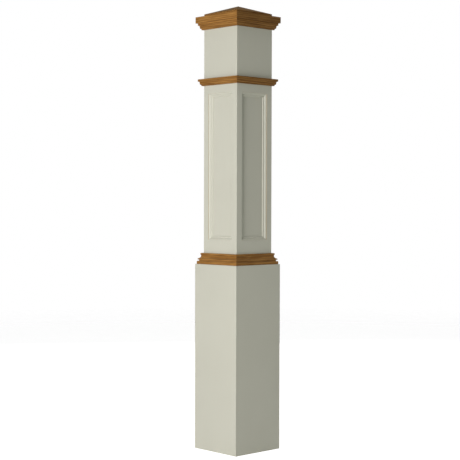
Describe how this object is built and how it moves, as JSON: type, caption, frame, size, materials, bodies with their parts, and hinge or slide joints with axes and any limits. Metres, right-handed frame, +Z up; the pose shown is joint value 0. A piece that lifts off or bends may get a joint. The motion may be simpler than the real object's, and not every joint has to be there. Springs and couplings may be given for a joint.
{
  "type": "newel post",
  "caption": "Square box newel post: wide plain base, recessed panels with panel moulding, stained mouldings, collar and crown, and a low pyramid cap.",
  "frame": {"origin": "centre of the underside, on the floor", "axes": "+Z up along the post's axis; +X, +Y, -X and -Y are the outward directions of the four equal sides, named right, back, left and front"},
  "size_m": [0.2, 0.2, 1.467],
  "materials": {
    "painted_wood": "satin off-white paint",
    "stained_oak": "stained and lacquered, satin"
  },
  "bodies": {
    "root": {"post_back_right": "painted_wood", "post_back_left": "painted_wood", "post_front_left": "painted_wood", "post_front_right": "painted_wood", "right_upper_board": "painted_wood", "right_lower_board": "painted_wood", "right_panel": "painted_wood", "right_base_board": "painted_wood", "right_panel_moulding_bottom": "painted_wood", "right_panel_moulding_right": "painted_wood", "right_panel_moulding_top": "painted_wood", "right_panel_moulding_left": "painted_wood", "right_base_moulding": "stained_oak", "right_collar": "stained_oak", "right_bed_moulding": "stained_oak", "right_band": "stained_oak", "back_upper_board": "painted_wood", "back_lower_board": "painted_wood", "back_panel": "painted_wood", "back_base_board": "painted_wood", "back_panel_moulding_bottom": "painted_wood", "back_panel_moulding_right": "painted_wood", "back_panel_moulding_top": "painted_wood", "back_panel_moulding_left": "painted_wood", "back_base_moulding": "stained_oak", "back_collar": "stained_oak", "back_bed_moulding": "stained_oak", "back_band": "stained_oak", "left_upper_board": "painted_wood", "left_lower_board": "painted_wood", "left_panel": "painted_wood", "left_base_board": "painted_wood", "left_panel_moulding_bottom": "painted_wood", "left_panel_moulding_right": "painted_wood", "left_panel_moulding_top": "painted_wood", "left_panel_moulding_left": "painted_wood", "left_base_moulding": "stained_oak", "left_collar": "stained_oak", "left_bed_moulding": "stained_oak", "left_band": "stained_oak", "front_upper_board": "painted_wood", "front_lower_board": "painted_wood", "front_panel": "painted_wood", "front_base_board": "painted_wood", "front_panel_moulding_bottom": "painted_wood", "front_panel_moulding_right": "painted_wood", "front_panel_moulding_top": "painted_wood", "front_panel_moulding_left": "painted_wood", "front_base_moulding": "stained_oak", "front_collar": "stained_oak", "front_bed_moulding": "stained_oak", "front_band": "stained_oak", "cap": "stained_oak"}
  },
  "joints": []
}
